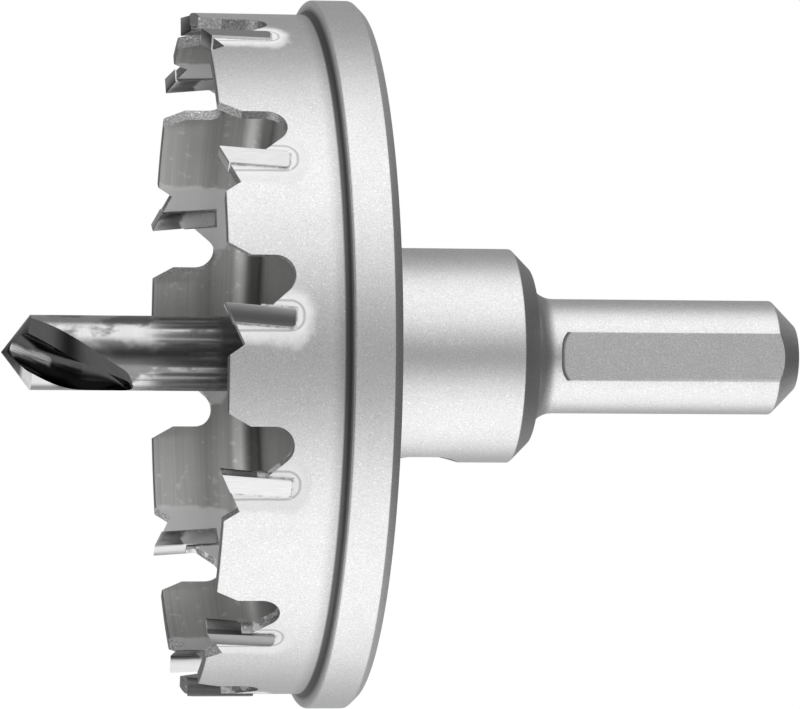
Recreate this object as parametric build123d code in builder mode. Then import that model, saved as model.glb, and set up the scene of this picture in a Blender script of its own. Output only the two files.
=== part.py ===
"""Carbide-tipped hole saw with a one-piece body, brazed tips and a twist pilot drill.

The axis of the tool is X. The shank end face lies at X = 0 and the teeth point
towards -X. Z is up. Angles about the axis start on the -Y side and grow towards +Z,
which is also the way the near teeth travel when the saw cuts.
"""
import math
import os

from build123d import *

# ---------------------------------------------------------------- shank
shank_diameter = 12.65
shank_length = 30.25
shank_end_chamfer = 2.7
shank_root_fillet = 3.0
shank_root_steps = 4
flat_count = 3
flat_depth = 0.59
flat_length = 27.3
flat_cutter_diameter = 11.0

# ---------------------------------------------------------------- hub
hub_diameter = 23.6
hub_length = 19.65
hub_end_chamfer = 2.05
hub_root_fillet = 1.0
hub_root_steps = 2

# ---------------------------------------------------------------- flange and cup
flange_overhang = 1.3
flange_thickness = 5.15
flange_back_chamfer = 0.95
web_thickness = 5.85
tip_overhang = 0.3
cup_wall = 1.3
cup_rim_length = 12.75
cup_neck_fillet = 0.9
cup_neck_steps = 3
cup_corner_fillet = 3.0
cup_corner_steps = 4

# ---------------------------------------------------------------- teeth
cutting_diameter = 75.0
tip_lead = 0.4
first_tooth_angle = 8.1
tooth_pitches = [27.4, 32.2, 30.0, 26.4, 33.6, 31.0, 31.0, 32.7, 25.3, 30.8, 32.7]
gullet_depth = 7.0
gullet_radius = 2.1
gullet_height = 5.05
gullet_ramp_angle = 41.0
gullet_mouth_length = 2.4
gullet_mouth_angle = 29.5
relief_angle = 24.8
relief_setback = 0.1
notch_offset = 4.25
notch_back_angle = 35.0

# ---------------------------------------------------------------- carbide tips
tip_length = 7.35
tip_thickness = 1.95
tip_width = 2.05
tip_end_chamfer = 0.25
axial_rake = 4.5
side_relief = 3.0
tip_back_taper = 3.0
braze_gap = 0.2

# ---------------------------------------------------------------- pilot drill
drill_diameter = 8.2
pilot_lead = 20.0
drill_point_angle = 105.0
flute_length = 14.3
flute_runout = 3.2
flute_end_fade = 0.03
helix_pitch = 39.2
flute_phase = 94.0
drill_core_radius = 1.15
flute_heel_drop = 0.5
flute_heel_angle = 34.0
flute_core_angle = 72.0
flute_edge_angle = 101.0
flute_sections = 7
flute_steps = 3
bore_depth = 21.3
bore_clearance = 0.05
bore_edge_break = 0.4
drill_end_clearance = 0.1
drill_back_chamfer = 0.5

# ---------------------------------------------------------------- set screw
screw_diameter = 6.0
screw_length = 6.0
screw_chamfer = 0.6
screw_clearance = 0.05
screw_socket = 3.0
screw_socket_depth = 3.2
screw_hub_offset = 7.95
spot_face_diameter = 8.6
spot_face_depth = 0.65
drill_flat_depth = 0.6
drill_flat_length = 9.0

# ---------------------------------------------------------------- derived stations
shank_radius = shank_diameter / 2
shank_end_radius = shank_radius - shank_end_chamfer
hub_radius = hub_diameter / 2
cutting_radius = cutting_diameter / 2
flange_radius = cutting_radius + flange_overhang
cup_radius = cutting_radius - tip_overhang
cup_inner_radius = cup_radius - cup_wall
tip_inner_radius = cutting_radius - tip_width
drill_radius = drill_diameter / 2

hub_end_x = -shank_length
flange_back_x = hub_end_x - hub_length
flange_front_x = flange_back_x - flange_thickness
cup_floor_x = flange_back_x - web_thickness
land_x = flange_front_x - cup_rim_length
tip_front_x = land_x - tip_lead
drill_tip_x = tip_front_x - pilot_lead
bore_end_x = cup_floor_x + bore_depth
drill_end_x = bore_end_x - drill_end_clearance
screw_x = flange_back_x + screw_hub_offset
over = 2.0

tooth_angles = [first_tooth_angle - sum(tooth_pitches[:i]) for i in range(len(tooth_pitches) + 1)]
flat_angles = [360 / flat_count * i for i in range(flat_count)]


def radial_plane(angle, radius):
    """Plane square to the radius at an angle, with its x along the axis."""
    outward = (0, -math.cos(math.radians(angle)), math.sin(math.radians(angle)))
    origin = (0, outward[1] * radius, outward[2] * radius)
    return Plane(origin=origin, x_dir=(1, 0, 0), z_dir=outward)


def turned_round(corner, radius, way_in, way_out, steps):
    """Points of a rounded right-angled corner, turned in short straight steps."""
    way_in = Vector(*way_in)
    way_out = Vector(*way_out)
    centre = Vector(*corner) + (way_in + way_out) * radius
    turns = [math.pi / 2 * i / steps for i in range(steps + 1)]
    return [centre - (way_out * math.cos(a) + way_in * math.sin(a)) * radius for a in turns]


def save(part, name):
    """Label a finished piece and write it as a STEP file of the same name."""
    part.label = name
    export_step(part, f"parts/{name}.step")


# Tooth profile, in the plane square to the radius at the tip's leading corner:
# x runs along the axis and y runs the way the tooth travels.
rake = math.radians(axial_rake)
along = Vector(math.cos(rake), -math.sin(rake))
across = Vector(math.sin(rake), math.cos(rake))
lead_corner = Vector(tip_front_x, 0)


def tip_point(length, depth):
    """Point at a length along the rake face and a depth behind it."""
    return lead_corner + along * length - across * depth


def relief_hit(depth, setback):
    """Where the line at a depth behind the rake face crosses the relief line."""
    slope = math.tan(math.radians(relief_angle))
    base = tip_point(0, depth)
    run = (tip_front_x + setback - slope * base.Y - base.X) / (along.X + slope * along.Y)
    return base + along * run


gullet_end_x = land_x + gullet_depth
gullet_centre = Vector(gullet_end_x - gullet_radius, gullet_height - gullet_radius)
ramp = math.radians(gullet_ramp_angle)
ramp_start = gullet_centre + Vector(math.sin(ramp), -math.cos(ramp)) * gullet_radius
ramp_run = (ramp_start - tip_point(0, tip_thickness / 2)).dot(across)
ramp_run = ramp_run / (Vector(math.cos(ramp), math.sin(ramp)).dot(across))
ramp_foot = ramp_start - Vector(math.cos(ramp), math.sin(ramp)) * ramp_run
lip_length = (ramp_foot - lead_corner).dot(along)
relief_slope = math.tan(math.radians(relief_angle))
notch_tip = Vector(tip_front_x + relief_setback + notch_offset * relief_slope, -notch_offset)
notch_out = notch_tip.X - land_x + over
notch_far = notch_tip + Vector(-notch_out, -notch_out * math.tan(math.radians(notch_back_angle)))
mouth_slope = math.tan(math.radians(gullet_mouth_angle))
mouth_in = Vector(land_x + gullet_mouth_length, gullet_height)
mouth_far = mouth_in + Vector(-(gullet_mouth_length + over), (gullet_mouth_length + over) * mouth_slope)
relief_in = relief_hit(tip_thickness / 2, relief_setback)
seat_mouth = relief_hit(tip_thickness + braze_gap, relief_setback)

# ---------------------------------------------------------------- saw body
# One turned piece: toothed cup, flange, hub and shank on one axis.
with BuildPart() as saw_body:
    with BuildSketch(Plane.XY) as turned_profile:
        with BuildLine():
            Polyline(
                (0, shank_end_radius),
                (0, 0),
                (cup_floor_x, 0),
                *turned_round((cup_floor_x, cup_inner_radius), cup_corner_fillet, (0, -1), (-1, 0), cup_corner_steps),
                (land_x, cup_inner_radius),
                (land_x, cup_radius),
                *turned_round((flange_front_x, cup_radius), cup_neck_fillet, (-1, 0), (0, 1), cup_neck_steps),
                (flange_front_x, flange_radius),
                (flange_back_x, flange_radius),
                *turned_round((flange_back_x, hub_radius), hub_root_fillet, (0, 1), (1, 0), hub_root_steps),
                (hub_end_x, hub_radius),
                *turned_round((hub_end_x, shank_radius), shank_root_fillet, (0, 1), (1, 0), shank_root_steps),
                (-shank_end_chamfer, shank_radius),
            )
            Bezier(
                (-shank_end_chamfer, shank_radius),
                (-shank_end_chamfer / 2, shank_radius - shank_end_chamfer / 2),
                (0, shank_end_radius),
            )
        make_face()
        corner = turned_profile.vertices
        chamfer(corner().sort_by_distance((hub_end_x, hub_radius))[0], hub_end_chamfer)
        chamfer(corner().sort_by_distance((flange_back_x, flange_radius))[0], flange_back_chamfer)
    revolve(axis=Axis.X)

    # Pilot bore with a broken edge at the cup floor.
    with BuildSketch(Plane.XY):
        with BuildLine():
            bore_radius = drill_radius + bore_clearance
            Polyline(
                (cup_floor_x - over, 0),
                (cup_floor_x - over, bore_radius + bore_edge_break + over),
                (cup_floor_x + bore_edge_break, bore_radius),
                (bore_end_x, bore_radius),
                (bore_end_x, 0),
                close=True,
            )
        make_face()
    revolve(axis=Axis.X, mode=Mode.SUBTRACT)

    # Three chuck flats, each with the round end that the cutter leaves.
    flat_height = shank_radius - flat_depth
    flat_cutter_radius = flat_cutter_diameter / 2
    with BuildSketch(*[radial_plane(angle, flat_height) for angle in flat_angles]):
        with Locations((flat_cutter_radius - flat_length, 0)):
            Circle(flat_cutter_radius)
            Rectangle(flat_length + over, flat_cutter_diameter, align=(Align.MIN, Align.CENTER))
    extrude(amount=flat_depth + over, mode=Mode.SUBTRACT)

    # Gullets, reliefs and notches round the rim, with the seats of the tips.
    with BuildSketch(*[radial_plane(angle, tip_inner_radius - over) for angle in tooth_angles]):
        with BuildLine():
            Polyline(
                ramp_foot,
                relief_in,
                notch_tip,
                notch_far,
                mouth_far,
                mouth_in,
                (gullet_centre.X, gullet_height),
            )
            ThreePointArc(
                (gullet_centre.X, gullet_height),
                (gullet_centre.X + gullet_radius, gullet_centre.Y),
                ramp_start,
            )
            Line(ramp_start, ramp_foot)
        make_face()
        with BuildLine():
            Polyline(
                tip_point(tip_length + braze_gap, -braze_gap),
                tip_point(tip_length + braze_gap, tip_thickness + braze_gap),
                tip_point(0, tip_thickness + braze_gap),
                tip_point(0, tip_thickness / 2),
                tip_point(lip_length, tip_thickness / 2),
                tip_point(lip_length, -braze_gap),
                close=True,
            )
        make_face()
    extrude(amount=cutting_radius - tip_inner_radius + 2 * over, mode=Mode.SUBTRACT)

    # Spot face and cross hole for the set screw, on the underside of the hub.
    with BuildSketch(Plane(origin=(screw_x, 0, spot_face_depth - hub_radius), z_dir=(0, 0, -1))):
        Circle(spot_face_diameter / 2)
    extrude(amount=spot_face_depth + over, mode=Mode.SUBTRACT)
    with BuildSketch(Plane(origin=(screw_x, 0, 0), z_dir=(0, 0, -1))):
        Circle(screw_diameter / 2 + screw_clearance)
    extrude(amount=hub_radius + over, mode=Mode.SUBTRACT)

# ---------------------------------------------------------------- carbide tip
# One tip at angle 0. Its sides fall away behind the rake face, and its inner side
# tapers back towards the wall so that only the cutting end stands proud.
with BuildPart() as tip:
    with BuildSketch(radial_plane(0, tip_inner_radius)) as tip_outline:
        with BuildLine():
            Polyline(
                tip_point(0, 0),
                tip_point(tip_length, 0),
                tip_point(tip_length, tip_thickness),
                relief_hit(tip_thickness, 0),
                close=True,
            )
        make_face()
        chamfer(tip_outline.vertices().sort_by(Axis.X)[-2:], tip_end_chamfer)
    extrude(amount=tip_width)
    side_fall = math.tan(math.radians(side_relief))
    tip_back = tip_thickness + tip_length * math.sin(rake) + over
    with BuildSketch(Plane.YZ.offset(tip_front_x - over)):
        with BuildLine():
            Polyline(
                (-cutting_radius, 0),
                (-cutting_radius + side_fall * tip_back, -tip_back),
                (-tip_inner_radius - side_fall * tip_back, -tip_back),
                (-tip_inner_radius, 0),
                (-tip_inner_radius, over),
                (-cutting_radius, over),
                close=True,
            )
        make_face()
    extrude(amount=tip_length + 2 * over, mode=Mode.INTERSECT)
    taper_fall = math.tan(math.radians(tip_back_taper)) * (tip_length + over)
    with BuildSketch(Plane.XY.offset(over)):
        with BuildLine():
            Polyline(
                (tip_front_x, -tip_inner_radius),
                (tip_front_x + tip_length + over, -tip_inner_radius - taper_fall),
                (tip_front_x + tip_length + over, -tip_inner_radius + over),
                (tip_front_x, -tip_inner_radius + over),
                close=True,
            )
        make_face()
    extrude(amount=-(tip_back + 2 * over), mode=Mode.SUBTRACT)

# ---------------------------------------------------------------- braze seam
# The thin bed of braze between a tip and the three walls of its seat.
with BuildPart() as seam:
    with BuildSketch(radial_plane(0, tip_inner_radius - over)):
        with BuildLine():
            Polyline(
                tip_point(lip_length, -braze_gap),
                tip_point(tip_length + braze_gap, -braze_gap),
                tip_point(tip_length + braze_gap, tip_thickness + braze_gap),
                seat_mouth,
                relief_hit(tip_thickness / 2, relief_setback),
                tip_point(lip_length, tip_thickness / 2),
                close=True,
            )
        make_face()
        with BuildLine():
            Polyline(
                tip_point(-over, -over),
                tip_point(-over, tip_thickness),
                tip_point(tip_length - tip_end_chamfer, tip_thickness),
                tip_point(tip_length, tip_thickness - tip_end_chamfer),
                tip_point(tip_length, tip_end_chamfer),
                tip_point(tip_length - tip_end_chamfer, 0),
                tip_point(lip_length - over, 0),
                tip_point(lip_length - over, -over),
                close=True,
            )
        make_face(mode=Mode.SUBTRACT)
    extrude(amount=cutting_radius - tip_inner_radius + 2 * over)
    with BuildSketch(Plane.XY):
        with BuildLine():
            Polyline(
                (land_x - over, cup_inner_radius),
                (land_x - over, cup_radius),
                (flange_front_x, cup_radius),
                (flange_front_x, cup_inner_radius),
                close=True,
            )
        make_face()
    revolve(axis=Axis.X, mode=Mode.INTERSECT)

# ---------------------------------------------------------------- pilot drill
helix_rate = 360 / helix_pitch


def flute_curve(heel, fade):
    """Closed section of one flute: relieved heel, hollow, and a way out past the land."""
    def polar(radius, angle):
        return (-radius * math.cos(math.radians(angle)), radius * math.sin(math.radians(angle)))

    ridge = drill_radius - fade * flute_heel_drop
    core = drill_radius - fade * (drill_radius - drill_core_radius)
    edge = heel - flute_edge_angle
    hollow = ThreePointArc(
        polar(ridge, heel - flute_heel_angle),
        polar(core, heel - flute_core_angle),
        polar(drill_radius, edge),
        mode=Mode.PRIVATE,
    )
    Polyline(polar(drill_radius, heel), *[hollow @ (i / flute_steps) for i in range(flute_steps + 1)])
    Line(polar(drill_radius, edge), polar(drill_radius + over, edge))
    ThreePointArc(
        polar(drill_radius + over, edge),
        polar(drill_radius + over, (heel + edge) / 2),
        polar(drill_radius + over, heel),
    )
    Line(polar(drill_radius + over, heel), polar(drill_radius, heel))


flute_end_x = drill_tip_x + flute_length
with BuildPart() as flute:
    for i in range(flute_sections):
        section_x = drill_tip_x - over + (flute_length + over) * i / (flute_sections - 1)
        section_fade = max(flute_end_fade, min(1.0, (flute_end_x - section_x) / flute_runout))
        section_turn = flute_phase - helix_rate * (section_x - drill_tip_x)
        with BuildSketch(Plane.YZ.offset(section_x)):
            with BuildLine():
                flute_curve(section_turn, section_fade)
            make_face()
    loft()

with BuildPart() as pilot_drill:
    with BuildSketch(Plane.YZ.offset(drill_tip_x)):
        Circle(drill_radius)
    extrude(amount=drill_end_x - drill_tip_x)
    chamfer(pilot_drill.faces().sort_by(Axis.X)[-1].edges(), drill_back_chamfer)
    with Locations((0, 0, 0), Location((0, 0, 0), (180, 0, 0))):
        add(flute.part, mode=Mode.SUBTRACT)
    with BuildSketch(Plane.XY):
        point_length = (drill_radius + over) / math.tan(math.radians(drill_point_angle / 2))
        with BuildLine():
            Polyline(
                (drill_tip_x, 0),
                (drill_tip_x + point_length, drill_radius + over),
                (drill_tip_x - 2 * over, drill_radius + over),
                (drill_tip_x - 2 * over, 0),
                close=True,
            )
        make_face()
    revolve(axis=Axis.X, mode=Mode.SUBTRACT)
    with BuildSketch(Plane(origin=(screw_x, 0, drill_flat_depth - drill_radius), z_dir=(0, 0, -1))):
        Rectangle(drill_flat_length, drill_diameter)
    extrude(amount=drill_diameter, mode=Mode.SUBTRACT)

# ---------------------------------------------------------------- set screw
# Headless screw with a hexagon socket, seated on the flat of the drill.
with BuildPart() as set_screw:
    screw_tip_z = drill_flat_depth - drill_radius
    with BuildSketch(Plane(origin=(screw_x, 0, screw_tip_z), z_dir=(0, 0, -1))):
        Circle(screw_diameter / 2)
    extrude(amount=screw_length)
    chamfer(set_screw.edges().filter_by(GeomType.CIRCLE), screw_chamfer)
    with BuildSketch(Plane(origin=(screw_x, 0, screw_tip_z - screw_length), z_dir=(0, 0, 1))):
        RegularPolygon(radius=screw_socket / 2, side_count=6, major_radius=False)
    extrude(amount=screw_socket_depth, mode=Mode.SUBTRACT)

# ---------------------------------------------------------------- placing and export
os.makedirs("parts", exist_ok=True)
save(saw_body.part, "saw_body")
save(pilot_drill.part, "pilot_drill")
save(set_screw.part, "set_screw")
for number, angle in enumerate(tooth_angles, start=1):
    turn = Location((0, 0, 0), (-angle, 0, 0))
    with BuildPart() as carbide_tip:
        with Locations(turn):
            add(tip.part)
    save(carbide_tip.part, f"carbide_tip_{number:02d}")
    with BuildPart() as braze_seam:
        with Locations(turn):
            add(seam.part)
    save(braze_seam.part, f"braze_seam_{number:02d}")
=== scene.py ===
"""Dresses the hole saw: a turned body, a fluted pilot drill, brazed tips, light and camera.

Blender works in metres in the shared frame, and the classes keep their sizes in
millimetres. The tool's axis is X, the teeth point to -X, and angles about the axis
start on the -Y side and grow towards +Z.
"""

import logging
import math
from dataclasses import dataclass
from enum import Enum
from functools import cached_property, reduce
from typing import Callable, Sequence

import bmesh
import bpy
import numpy as np
from mathutils import Matrix, Vector

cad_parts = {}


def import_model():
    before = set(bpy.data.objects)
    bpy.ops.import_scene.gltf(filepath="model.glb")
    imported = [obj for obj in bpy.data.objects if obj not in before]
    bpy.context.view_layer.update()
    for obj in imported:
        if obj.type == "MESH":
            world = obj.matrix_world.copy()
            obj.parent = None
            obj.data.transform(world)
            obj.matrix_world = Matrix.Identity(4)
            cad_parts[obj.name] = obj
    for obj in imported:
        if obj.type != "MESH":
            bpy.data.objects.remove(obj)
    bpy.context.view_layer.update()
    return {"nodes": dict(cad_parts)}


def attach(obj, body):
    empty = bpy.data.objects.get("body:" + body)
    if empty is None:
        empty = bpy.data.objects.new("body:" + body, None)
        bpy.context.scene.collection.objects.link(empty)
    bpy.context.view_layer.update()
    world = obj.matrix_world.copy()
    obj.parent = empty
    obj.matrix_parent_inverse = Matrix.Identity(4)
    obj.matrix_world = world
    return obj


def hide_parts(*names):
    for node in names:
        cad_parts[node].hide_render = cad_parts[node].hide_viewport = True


LOG = logging.getLogger("hole_saw")
MM = 0.001
MAP_UNIT = 100.0  # millimetres in one unit of a UV map
SCREW_X = -41.95  # where the set screw stands, in millimetres
ROW_SHIFT = 0.37  # share of a step that turned forms start round the axis, clear of cutters
WELD = 1e-6  # metres within which points of a CAD mesh are one

Pair = tuple[float, float]
Triple = tuple[float, float, float]
Socket = bpy.types.NodeSocket
Node = bpy.types.Node
Tree = bpy.types.NodeTree
Material = bpy.types.Material
Mesh = bpy.types.Mesh
Thing = bpy.types.Object


class BodyFace(Enum):
    """Which finish a face of the saw body has. The value is its material slot."""

    BLASTED = 0
    TURNED = 1
    MILLED = 2
    FLAT = 3


class DrillFace(Enum):
    """Which finish a face of the pilot drill has. The value is its material slot."""

    GROUND = 0
    FLUTE = 1
    POINT = 2


class ToothPiece(Enum):
    """A piece brazed in at a tooth. The value is its slot's name."""

    TIP = "carbide"
    SEAM = "braze"


# ------------------------------------------------------------------ node writing
class NodePen:
    """Writes nodes into one tree, left to right."""

    def __init__(self, tree: Tree) -> None:
        """Keeps the tree and clears it.

        Args:
            tree: The node tree to write into.
        """
        self.tree = tree
        self.tree.nodes.clear()

    def add(self, kind: str, **settings: object) -> Node:
        """Adds a node and sets its properties.

        Args:
            kind: The node's type name.
            settings: Properties of the node.

        Returns:
            The new node.
        """
        node = self.tree.nodes.new(kind)
        node.location = (190 * len(self.tree.nodes), 0)
        for name, value in settings.items():
            setattr(node, name, value)
        return node

    def feed(self, socket: Socket, value: object) -> None:
        """Links a socket into an input, or sets a plain value on it.

        Args:
            socket: The input.
            value: Another socket, a number or a vector.
        """
        if isinstance(value, Socket):
            self.tree.links.new(value, socket)
        else:
            socket.default_value = value

    def fill(self, node: Node, **values: object) -> Node:
        """Feeds a node's inputs by name.

        Args:
            node: The node.
            values: Its inputs by name, with _ for a space.

        Returns:
            The same node.
        """
        for name, value in values.items():
            self.feed(node.inputs[name.replace("_", " ")], value)
        return node

    def math(self, operation: str, *values: object) -> Socket:
        """Adds a Math node.

        Args:
            operation: The node's operation.
            values: Its inputs, in order.

        Returns:
            The result.
        """
        node = self.add("ShaderNodeMath", operation=operation)
        for socket, value in zip(node.inputs, values):
            self.feed(socket, value)
        return node.outputs[0]

    def line(self, value: object, slope: object, start: object) -> Socket:
        """Returns value times slope plus start."""
        return self.math("MULTIPLY_ADD", value, slope, start)

    def less(self, value: object, taken: object) -> Socket:
        """Returns value less what is taken."""
        return self.math("SUBTRACT", value, taken)

    def product(self, *values: object) -> Socket:
        """Returns the product of two or more values."""
        return reduce(lambda total, value: self.math("MULTIPLY", total, value), values)

    def most(self, *values: object) -> Socket:
        """Returns the largest of two or more values."""
        return reduce(lambda total, value: self.math("MAXIMUM", total, value), values)

    def step(self, value: object, low: object, high: object) -> Socket:
        """Smooth step from 0 at low to 1 at high.

        Args:
            value: What is tested.
            low: Where the step starts.
            high: Where the step ends, above low or below it.

        Returns:
            The stepped value.
        """
        node = self.add("ShaderNodeMapRange", interpolation_type="SMOOTHSTEP")
        return self.fill(node, Value=value, From_Min=low, From_Max=high).outputs["Result"]

    def steps(self, value: Socket, *spans: Pair) -> Socket:
        """Product of smooth steps whose ends are given in millimetres.

        Args:
            value: What is tested, in metres.
            spans: Where each step starts and ends.

        Returns:
            The product.
        """
        return self.product(*(self.step(value, low * MM, high * MM) for low, high in spans))

    def noise(self, vector: Socket, scale: object, detail: float = 2.0, rough: float = 0.5) -> Socket:
        """Adds a noise texture.

        Args:
            vector: The coordinates.
            scale: Waves for each unit of them.
            detail: Octaves.
            rough: How strong the finer octaves are.

        Returns:
            The noise value, about 0.5.
        """
        node = self.add("ShaderNodeTexNoise")
        return self.fill(node, Vector=vector, Scale=scale, Detail=detail, Roughness=rough).outputs[0]

    def scaled(self, vector: Socket, scale: Triple) -> Socket:
        """Multiplies a vector by fixed factors.

        Args:
            vector: The vector.
            scale: A factor for each axis.

        Returns:
            The scaled vector.
        """
        node = self.add("ShaderNodeVectorMath", operation="MULTIPLY")
        self.feed(node.inputs[0], vector)
        self.feed(node.inputs[1], scale)
        return node.outputs[0]

    def split(self, vector: Socket) -> tuple[Socket, ...]:
        """Takes a vector apart.

        Args:
            vector: The vector.

        Returns:
            Its three parts.
        """
        return tuple(self.fill(self.add("ShaderNodeSeparateXYZ"), Vector=vector).outputs)


class Effect(NodePen):
    """Writes a shared shader group that takes a vector and numbers and gives numbers."""

    def __init__(self, name: str, inputs: dict[str, float], outputs: Sequence[str]) -> None:
        """Makes the group with its sockets.

        Args:
            name: The group's name.
            inputs: Name and default of each number that it takes.
            outputs: Name of each number that it gives.
        """
        group = bpy.data.node_groups.new(name, "ShaderNodeTree")
        super().__init__(group)
        face = group.interface
        face.new_socket("Vector", in_out="INPUT", socket_type="NodeSocketVector")
        for label, default in inputs.items():
            face.new_socket(label, in_out="INPUT", socket_type="NodeSocketFloat").default_value = default
        for label in outputs:
            face.new_socket(label, in_out="OUTPUT", socket_type="NodeSocketFloat")
        self.get = self.add("NodeGroupInput").outputs
        self.end = self.add("NodeGroupOutput")
        self.vector = self.get["Vector"]

    def centred(self, scale: object, detail: float = 2.0, rough: float = 0.5) -> Socket:
        """Noise on the group's own vector, about 0.

        Args:
            scale: Waves for each unit.
            detail: Octaves.
            rough: How strong the finer octaves are.

        Returns:
            The noise value less a half.
        """
        return self.less(self.noise(self.vector, scale, detail, rough), 0.5)

    def close(self, **results: Socket) -> Tree:
        """Feeds the group's outputs.

        Args:
            results: Each output by name.

        Returns:
            The group.
        """
        self.fill(self.end, **results)
        return self.tree


class Effects:
    """Shader groups that several finishes share, each built once."""

    def __init__(self) -> None:
        """Builds the groups."""
        self.grain = self._grain()
        self.rings = self._rings()
        self.patch = self._patch()

    @staticmethod
    def _grain() -> Tree:
        """Bead-blasted grain: a height for bump and a tone for colour.

        Returns:
            The group.
        """
        pen = Effect("blast_grain", {"Scale": 5200.0, "Contrast": 0.2}, ("Height", "Tone"))
        scale = pen.get["Scale"]
        fine = pen.noise(pen.vector, scale, 2.5, 0.65)
        specks = pen.step(pen.noise(pen.vector, pen.product(scale, 0.8), 1.0), 0.66, 0.74)
        tone = pen.line(pen.less(fine, 0.5), 1.9, pen.product(specks, 0.9))
        tone = pen.line(pen.centred(pen.product(scale, 0.06)), 0.22, tone)
        return pen.close(Height=fine, Tone=pen.line(tone, pen.get["Contrast"], 1.0))

    @staticmethod
    def _rings() -> Tree:
        """Turning or grinding lines that run round the axis: a height and a tone.

        Returns:
            The group.
        """
        pen = Effect("tool_rings", {"Scale": 4000.0, "Contrast": 0.3}, ("Height", "Tone"))
        thin = pen.scaled(pen.vector, (1.0, 0.012, 0.012))
        fine = pen.noise(thin, pen.get["Scale"], 3.0, 0.6)
        broad = pen.noise(thin, pen.product(pen.get["Scale"], 0.16), 1.5)
        tone = pen.line(pen.less(broad, 0.5), 1.6, pen.less(fine, 0.5))
        return pen.close(Height=pen.math("ADD", fine, broad), Tone=pen.line(tone, pen.get["Contrast"], 1.0))

    @staticmethod
    def _patch() -> Tree:
        """Rounded box with a wandering edge: its mask, and the distance from its edge.

        Returns:
            The group.
        """
        names = ("Centre U", "Centre V", "Half U", "Half V", "Corner", "Soft", "Wander")
        pen = Effect("tooth_patch", dict.fromkeys(names, 1.0), ("Mask", "Distance"))
        get = pen.get
        sides = []
        wave = pen.product(pen.centred(0.55), get["Wander"])
        for part, way in zip(pen.split(pen.vector), ("U", "V")):
            off = pen.math("ABSOLUTE", pen.less(part, get["Centre " + way]))
            sides.append(pen.math("ADD", pen.less(off, get["Half " + way]), get["Corner"]))
        outer = (pen.math("POWER", pen.most(side, 0.0), 2.0) for side in sides)
        reach = pen.math("SQRT", pen.math("ADD", *outer))
        inner = pen.math("MINIMUM", pen.most(*sides), 0.0)
        distance = pen.math("ADD", pen.less(pen.math("ADD", reach, inner), get["Corner"]), wave)
        soft = pen.product(get["Soft"], 0.5)
        return pen.close(Distance=distance, Mask=pen.step(distance, soft, pen.product(soft, -1.0)))


# ------------------------------------------------------------------ finishes
@dataclass(frozen=True)
class Finish:
    """A metal finish: its name, its colour and its roughness.

    Where a finish has them, grain and lines are waves to a metre, depth is how deep its
    fine form is in metres, and pairs are the ends of smooth steps in millimetres.
    """

    name: str
    colour: Triple
    roughness: float


@dataclass(frozen=True)
class Patch:
    """A rounded box in a piece's own map, in millimetres."""

    centre: Pair
    half: Pair
    corner: float
    soft: float
    wander: float


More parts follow.
